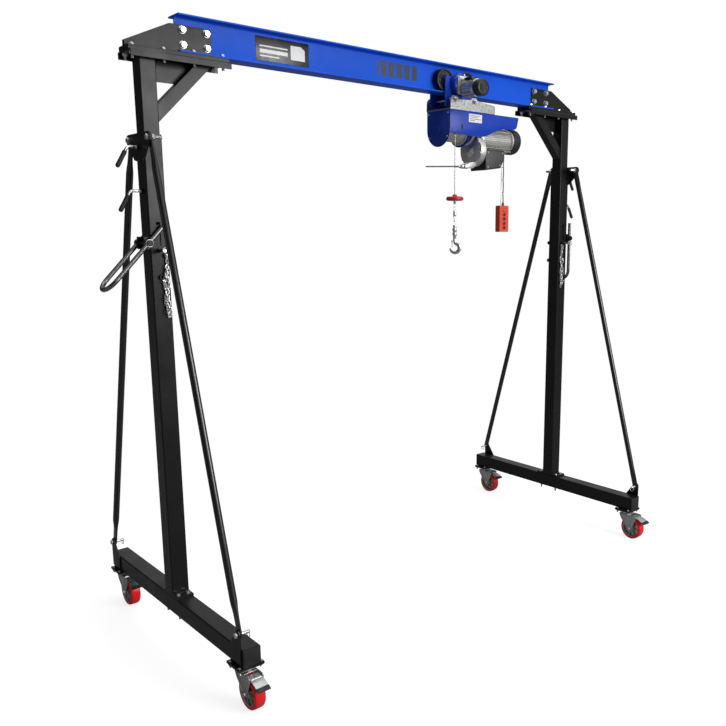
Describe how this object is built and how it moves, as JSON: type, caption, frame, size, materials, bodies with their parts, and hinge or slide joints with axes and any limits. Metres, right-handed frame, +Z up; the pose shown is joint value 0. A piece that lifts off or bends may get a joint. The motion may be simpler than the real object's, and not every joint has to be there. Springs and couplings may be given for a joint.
{
  "type": "portable gantry crane",
  "caption": "Height-adjustable portable gantry crane: I-beam on two telescoping A-frame legs with locking casters, electric trolley, wire-rope hoist and pendant.",
  "frame": {"origin": "on the floor at mid-span, midway between the mast centres, with the beam at its lowest setting", "axes": "+X along the beam toward the motor end of the hoist, -Y toward the side of the lock pins and the trolley motor, +Z up"},
  "size_m": [3.0579, 1.431, 2.7666],
  "materials": {
    "beam_blue": "semi-gloss royal blue enamel",
    "black_steel": "satin black powder coat",
    "zinc": "bright zinc plate",
    "lever_steel": "dark burnished steel",
    "handle": "black moulded grip on a zinc screw",
    "red_tread": "red polyurethane tread on a grey core",
    "hoist_blue": "gloss deep blue enamel",
    "cast_wheel": "black cast iron",
    "cast_alu": "as-cast aluminium",
    "drum_steel": "turned steel wound with wire rope",
    "black_plastic": "black moulded plastic",
    "red_plastic": "red moulded plastic"
  },
  "bodies": {
    "left_leg": {"left_outer_mast": "black_steel", "left_base_beam": "black_steel", "left_brace_tubes": "black_steel", "left_mast_brackets": "black_steel", "left_leg_hardware": "zinc"},
    "upper_frame": {"i_beam": "beam_blue", "web_bracket_plates": "black_steel", "mast_heads": "black_steel", "inner_masts": "black_steel", "beam_bolts": "zinc"},
    "right_leg": {"right_outer_mast": "black_steel", "right_base_beam": "black_steel", "right_brace_tubes": "black_steel", "right_mast_brackets": "black_steel", "right_leg_hardware": "zinc"},
    "left_jack_lever": {"left_jack_lever": "lever_steel"},
    "left_lock_pin": {"left_lock_pin": "zinc"},
    "left_upper_clamp_handle": {"left_upper_clamp_handle": "handle"},
    "left_lower_clamp_handle": {"left_lower_clamp_handle": "handle"},
    "caster_left_front_fork": {"caster_left_front_fork": "zinc"},
    "caster_left_front_wheel": {"caster_left_front_wheel": "red_tread"},
    "caster_left_front_brake_pedal": {"caster_left_front_brake_pedal": "zinc"},
    "caster_left_rear_fork": {"caster_left_rear_fork": "zinc"},
    "caster_left_rear_wheel": {"caster_left_rear_wheel": "red_tread"},
    "caster_left_rear_brake_pedal": {"caster_left_rear_brake_pedal": "zinc"},
    "right_jack_lever": {"right_jack_lever": "lever_steel"},
    "right_lock_pin": {"right_lock_pin": "zinc"},
    "right_upper_clamp_handle": {"right_upper_clamp_handle": "handle"},
    "right_lower_clamp_handle": {"right_lower_clamp_handle": "handle"},
    "caster_right_front_fork": {"caster_right_front_fork": "zinc"},
    "caster_right_front_wheel": {"caster_right_front_wheel": "red_tread"},
    "caster_right_front_brake_pedal": {"caster_right_front_brake_pedal": "zinc"},
    "caster_right_rear_fork": {"caster_right_rear_fork": "zinc"},
    "caster_right_rear_wheel": {"caster_right_rear_wheel": "red_tread"},
    "caster_right_rear_brake_pedal": {"caster_right_rear_brake_pedal": "zinc"},
    "trolley": {"trolley_side_plates": "hoist_blue", "trolley_cross_bolts": "zinc", "trolley_hanger": "zinc", "trolley_gearmotor": "cast_alu", "hoist_housing": "hoist_blue", "hoist_gearbox": "cast_alu", "hoist_motor": "cast_alu", "hoist_fan_cover": "black_plastic", "hoist_control_box": "black_plastic"},
    "trolley_wheel_pair_a": {"trolley_wheel_pair_a": "cast_wheel"},
    "trolley_wheel_pair_b": {"trolley_wheel_pair_b": "cast_wheel"},
    "rope_drum": {"rope_drum": "drum_steel"},
    "rope_end": {"hoist_rope": "zinc", "rope_stop_disc": "red_plastic", "rope_end_fitting": "zinc"},
    "hook": {"hook": "zinc"},
    "hook_latch": {"hook_latch": "zinc"},
    "hoist_limit_lever": {"hoist_limit_lever": "zinc"},
    "pendant": {"pendant_case": "red_plastic", "pendant_cable": "black_plastic"},
    "pendant_button_1": {"pendant_button_1": "black_plastic"},
    "pendant_button_2": {"pendant_button_2": "black_plastic"},
    "pendant_button_3": {"pendant_button_3": "black_plastic"},
    "pendant_button_4": {"pendant_button_4": "black_plastic"},
    "pendant_button_5": {"pendant_button_5": "black_plastic"}
  },
  "joints": [
    {"name": "beam_lift", "type": "slide", "parent": "left_leg", "child": "upper_frame", "axis": [0, 0, 1], "range_m": [0, 1.12]},
    {"name": "right_leg_telescope", "type": "slide", "parent": "upper_frame", "child": "right_leg", "axis": [0, 0, -1], "range_m": [0, 1.12]},
    {"name": "left_jack_lever", "type": "hinge", "parent": "left_leg", "child": "left_jack_lever", "pos_m": [-1.387, 0, 1.842], "axis": [0, 1, 0], "range_deg": [-44, 40]},
    {"name": "left_lock_pin", "type": "slide", "parent": "left_leg", "child": "left_lock_pin", "axis": [0, 1, 0], "range_m": [0, 0.042]},
    {"name": "left_upper_clamp_handle", "type": "hinge", "parent": "left_leg", "child": "left_upper_clamp_handle", "pos_m": [-1.337, 0, 2.229], "axis": [-1, 0, 0], "range_deg": [-180, 180]},
    {"name": "left_lower_clamp_handle", "type": "hinge", "parent": "left_leg", "child": "left_lower_clamp_handle", "pos_m": [-1.337, 0, 2.053], "axis": [-1, 0, 0], "range_deg": [-180, 180]},
    {"name": "caster_left_front_swivel", "type": "hinge", "parent": "left_leg", "child": "caster_left_front_fork", "pos_m": [-1.337, -0.615, 0.16], "axis": [0, 0, 1], "continuous": true},
    {"name": "caster_left_front_roll", "type": "hinge", "parent": "caster_left_front_fork", "child": "caster_left_front_wheel", "pos_m": [-1.337, -0.66, 0.07], "axis": [1, 0, 0], "continuous": true},
    {"name": "caster_left_front_brake", "type": "hinge", "parent": "caster_left_front_fork", "child": "caster_left_front_brake_pedal", "pos_m": [-1.337, -0.693, 0.14], "axis": [1, 0, 0], "range_deg": [0, 12]},
    {"name": "caster_left_rear_swivel", "type": "hinge", "parent": "left_leg", "child": "caster_left_rear_fork", "pos_m": [-1.337, 0.615, 0.16], "axis": [0, 0, 1], "continuous": true},
    {"name": "caster_left_rear_roll", "type": "hinge", "parent": "caster_left_rear_fork", "child": "caster_left_rear_wheel", "pos_m": [-1.337, 0.57, 0.07], "axis": [1, 0, 0], "continuous": true},
    {"name": "caster_left_rear_brake", "type": "hinge", "parent": "caster_left_rear_fork", "child": "caster_left_rear_brake_pedal", "pos_m": [-1.337, 0.537, 0.14], "axis": [1, 0, 0], "range_deg": [0, 12]},
    {"name": "right_jack_lever", "type": "hinge", "parent": "right_leg", "child": "right_jack_lever", "pos_m": [1.387, 0, 1.842], "axis": [0, -1, 0], "range_deg": [0, 84]},
    {"name": "right_lock_pin", "type": "slide", "parent": "right_leg", "child": "right_lock_pin", "axis": [0, 1, 0], "range_m": [0, 0.042]},
    {"name": "right_upper_clamp_handle", "type": "hinge", "parent": "right_leg", "child": "right_upper_clamp_handle", "pos_m": [1.337, 0, 2.229], "axis": [1, 0, 0], "range_deg": [-180, 180]},
    {"name": "right_lower_clamp_handle", "type": "hinge", "parent": "right_leg", "child": "right_lower_clamp_handle", "pos_m": [1.337, 0, 2.053], "axis": [1, 0, 0], "range_deg": [-180, 180]},
    {"name": "caster_right_front_swivel", "type": "hinge", "parent": "right_leg", "child": "caster_right_front_fork", "pos_m": [1.337, -0.615, 0.16], "axis": [0, 0, 1], "continuous": true},
    {"name": "caster_right_front_roll", "type": "hinge", "parent": "caster_right_front_fork", "child": "caster_right_front_wheel", "pos_m": [1.337, -0.66, 0.07], "axis": [1, 0, 0], "continuous": true},
    {"name": "caster_right_front_brake", "type": "hinge", "parent": "caster_right_front_fork", "child": "caster_right_front_brake_pedal", "pos_m": [1.337, -0.693, 0.14], "axis": [1, 0, 0], "range_deg": [0, 12]},
    {"name": "caster_right_rear_swivel", "type": "hinge", "parent": "right_leg", "child": "caster_right_rear_fork", "pos_m": [1.337, 0.615, 0.16], "axis": [0, 0, 1], "continuous": true},
    {"name": "caster_right_rear_roll", "type": "hinge", "parent": "caster_right_rear_fork", "child": "caster_right_rear_wheel", "pos_m": [1.337, 0.57, 0.07], "axis": [1, 0, 0], "continuous": true},
    {"name": "caster_right_rear_brake", "type": "hinge", "parent": "caster_right_rear_fork", "child": "caster_right_rear_brake_pedal", "pos_m": [1.337, 0.537, 0.14], "axis": [1, 0, 0], "range_deg": [0, 12]},
    {"name": "trolley_travel", "type": "slide", "parent": "upper_frame", "child": "trolley", "axis": [1, 0, 0], "range_m": [-1.2, 0.22]},
    {"name": "trolley_wheel_pair_a", "type": "hinge", "parent": "trolley", "child": "trolley_wheel_pair_a", "pos_m": [0.298, 0, 2.68162], "axis": [0, 1, 0], "continuous": true},
    {"name": "trolley_wheel_pair_b", "type": "hinge", "parent": "trolley", "child": "trolley_wheel_pair_b", "pos_m": [0.465, 0, 2.68162], "axis": [0, 1, 0], "continuous": true},
    {"name": "hook_lift", "type": "slide", "parent": "trolley", "child": "rope_end", "axis": [0, 0, -1], "range_m": [-0.14, 1.7], "deforming": ["hoist_rope"]},
    {"name": "rope_drum", "type": "hinge", "parent": "trolley", "child": "rope_drum", "pos_m": [0.357, 0, 2.43], "axis": [1, 0, 0], "continuous": true},
    {"name": "hook_swivel", "type": "hinge", "parent": "rope_end", "child": "hook", "pos_m": [0.357, -0.06, 1.885], "axis": [0, 0, 1], "continuous": true},
    {"name": "hook_latch", "type": "hinge", "parent": "hook", "child": "hook_latch", "pos_m": [0.3466, -0.05063, 1.832], "axis": [-0.6691, -0.7431, 0], "range_deg": [0, 18], "stiffness_Nm_per_rad": 0.2},
    {"name": "hoist_limit_lever", "type": "hinge", "parent": "trolley", "child": "hoist_limit_lever", "pos_m": [0.424, -0.06, 2.24], "axis": [0, 1, 0], "range_deg": [0, 8]},
    {"name": "pendant_swing", "type": "hinge", "parent": "trolley", "child": "pendant", "pos_m": [0.742, -0.06, 2.325], "axis": [0, 1, 0], "range_deg": [-10, 10]},
    {"name": "pendant_button_1", "type": "slide", "parent": "pendant", "child": "pendant_button_1", "axis": [0, 1, 0], "range_m": [0, 0.004], "stiffness_N_per_m": 400},
    {"name": "pendant_button_2", "type": "slide", "parent": "pendant", "child": "pendant_button_2", "axis": [0, 1, 0], "range_m": [0, 0.004], "stiffness_N_per_m": 400},
    {"name": "pendant_button_3", "type": "slide", "parent": "pendant", "child": "pendant_button_3", "axis": [0, 1, 0], "range_m": [0, 0.004], "stiffness_N_per_m": 400},
    {"name": "pendant_button_4", "type": "slide", "parent": "pendant", "child": "pendant_button_4", "axis": [0, 1, 0], "range_m": [0, 0.004], "stiffness_N_per_m": 400},
    {"name": "pendant_button_5", "type": "slide", "parent": "pendant", "child": "pendant_button_5", "axis": [0, 1, 0], "range_m": [0, 0.004], "stiffness_N_per_m": 400}
  ],
  "couplings": [
    {"joint": "right_leg_telescope", "follows": "beam_lift", "ratio": 1},
    {"joint": "trolley_wheel_pair_a", "follows": "trolley_travel", "rad_per_m": 17.241},
    {"joint": "trolley_wheel_pair_b", "follows": "trolley_travel", "rad_per_m": 17.241},
    {"joint": "rope_drum", "follows": "hook_lift", "rad_per_m": 16.807}
  ]
}
